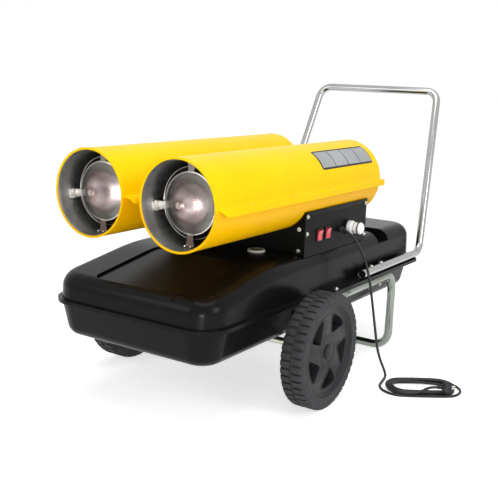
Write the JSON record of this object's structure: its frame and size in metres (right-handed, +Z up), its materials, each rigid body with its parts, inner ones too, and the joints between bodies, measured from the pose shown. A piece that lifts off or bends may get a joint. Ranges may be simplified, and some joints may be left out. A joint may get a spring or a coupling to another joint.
{
  "type": "forced air heater",
  "caption": "Mobile forced air oil heater with side-by-side barrels over a fuel tank, on wheels and a bent tube leg, with a push handle and a coiled mains cord.",
  "frame": {"origin": "on the floor, midway between the wheels and midway between the tank's front edge and the handle's back", "axes": "+Z up; the outlets face -Y and the push handle is at +Y; +X is the side with the control panel"},
  "size_m": [1.224, 1.7235, 1.045],
  "materials": {
    "casing_paint": "glossy powder coat",
    "liner_steel": "plain sheet",
    "chamber_steel": "heat-tinted sheet",
    "cone_steel": "spun, lightly heat-tinted",
    "tank_plastic": "satin moulded",
    "cap_plastic": "moulded",
    "housing_paint": "satin powder coat",
    "tube_zinc": "yellow-tinged zinc plate",
    "bolt_zinc": "zinc plate",
    "tyre_rubber": "solid rubber",
    "rim_plastic": "moulded",
    "cord_rubber": "rubber sheath",
    "rocker_red": "translucent red",
    "switch_black": "moulded",
    "plug_white": "clear over white",
    "motor_paint": "enamel",
    "pump_cast": "machined casting",
    "fan_sheet": "pressed sheet",
    "wire_steel": "black coat",
    "gauge_lens": "clear moulding",
    "gauge_white": "moulded",
    "needle_red": "moulded",
    "copper_line": "drawn tube",
    "strainer_mesh": "woven mesh basket"
  },
  "bodies": {
    "heater": {"left_upper_shell": "casing_paint", "left_lower_shell": "casing_paint", "left_inner_liner": "liner_steel", "left_combustion_chamber": "chamber_steel", "left_nose_cone": "cone_steel", "left_burner_head": "chamber_steel", "left_oil_pump": "pump_cast", "left_motor": "motor_paint", "left_motor_bracket": "bolt_zinc", "left_rear_grille": "wire_steel", "right_upper_shell": "casing_paint", "right_lower_shell": "casing_paint", "right_inner_liner": "liner_steel", "right_combustion_chamber": "chamber_steel", "right_nose_cone": "cone_steel", "right_burner_head": "chamber_steel", "right_oil_pump": "pump_cast", "right_motor": "motor_paint", "right_motor_bracket": "bolt_zinc", "right_rear_grille": "wire_steel", "seam_screws": "bolt_zinc", "saddle_bolts": "bolt_zinc", "fuel_tank": "tank_plastic", "filler_strainer": "strainer_mesh", "drain_plug": "bolt_zinc", "gauge_body": "gauge_white", "gauge_lens": "gauge_lens", "suction_lines": "copper_line", "control_housing": "housing_paint", "cover_panel": "housing_paint", "cover_screws": "bolt_zinc", "switch_housings": "switch_black", "cord_gland": "switch_black", "thermostat_socket": "switch_black", "burner_controllers": "switch_black", "ignition_transformers": "switch_black", "chassis_frame": "tube_zinc", "handle_tube": "tube_zinc", "frame_bolts": "bolt_zinc", "axle": "bolt_zinc", "axle_retainers": "bolt_zinc", "mains_lead": "cord_rubber", "mains_coil": "cord_rubber", "mains_plug": "cord_rubber"},
    "left_wheel": {"left_tyre": "tyre_rubber", "left_rim": "rim_plastic", "left_hub_cap": "rim_plastic"},
    "right_wheel": {"right_tyre": "tyre_rubber", "right_rim": "rim_plastic", "right_hub_cap": "rim_plastic"},
    "left_rotor": {"left_fan": "fan_sheet", "left_motor_shaft": "bolt_zinc"},
    "right_rotor": {"right_fan": "fan_sheet", "right_motor_shaft": "bolt_zinc"},
    "front_switch": {"front_rocker": "rocker_red"},
    "rear_switch": {"rear_rocker": "rocker_red"},
    "tank_cap": {"filler_cap": "cap_plastic"},
    "control_plug": {"thermostat_plug": "plug_white"},
    "float": {"float_arm": "fan_sheet"},
    "needle": {"gauge_needle": "needle_red"}
  },
  "joints": [
    {"name": "left_wheel_spin", "type": "hinge", "parent": "heater", "child": "left_wheel", "pos_m": [0.4, -0.34825, 0.195], "axis": [1, 0, 0], "continuous": true},
    {"name": "right_wheel_spin", "type": "hinge", "parent": "heater", "child": "right_wheel", "pos_m": [-0.4, -0.34825, 0.195], "axis": [1, 0, 0], "continuous": true},
    {"name": "left_fan_spin", "type": "hinge", "parent": "heater", "child": "left_rotor", "pos_m": [0.174, 0.1, 0.7015], "axis": [0, 1, 0], "continuous": true},
    {"name": "right_fan_spin", "type": "hinge", "parent": "heater", "child": "right_rotor", "pos_m": [-0.174, 0.1, 0.7015], "axis": [0, 1, 0], "continuous": true},
    {"name": "front_switch_rock", "type": "hinge", "parent": "heater", "child": "front_switch", "pos_m": [0.2995, -0.19325, 0.546], "axis": [0, -1, 0], "range_deg": [0, 14]},
    {"name": "rear_switch_rock", "type": "hinge", "parent": "heater", "child": "rear_switch", "pos_m": [0.2995, -0.13425, 0.546], "axis": [0, -1, 0], "range_deg": [0, 14]},
    {"name": "cap_lift", "type": "slide", "parent": "heater", "child": "tank_cap", "axis": [0, 0, 1], "range_m": [0, 0.06]},
    {"name": "control_plug_pull", "type": "slide", "parent": "heater", "child": "control_plug", "axis": [1, 0, 0], "range_m": [0, 0.06]},
    {"name": "float_swing", "type": "hinge", "parent": "heater", "child": "float", "pos_m": [0.14, -0.33625, 0.444], "axis": [0, 1, 0], "range_deg": [0, 58]},
    {"name": "needle_turn", "type": "hinge", "parent": "heater", "child": "needle", "pos_m": [0.14, -0.33625, 0.49], "axis": [0, 0, 1], "range_deg": [0, 87]}
  ],
  "couplings": [
    {"joint": "needle_turn", "follows": "float_swing", "ratio": 1.5}
  ]
}
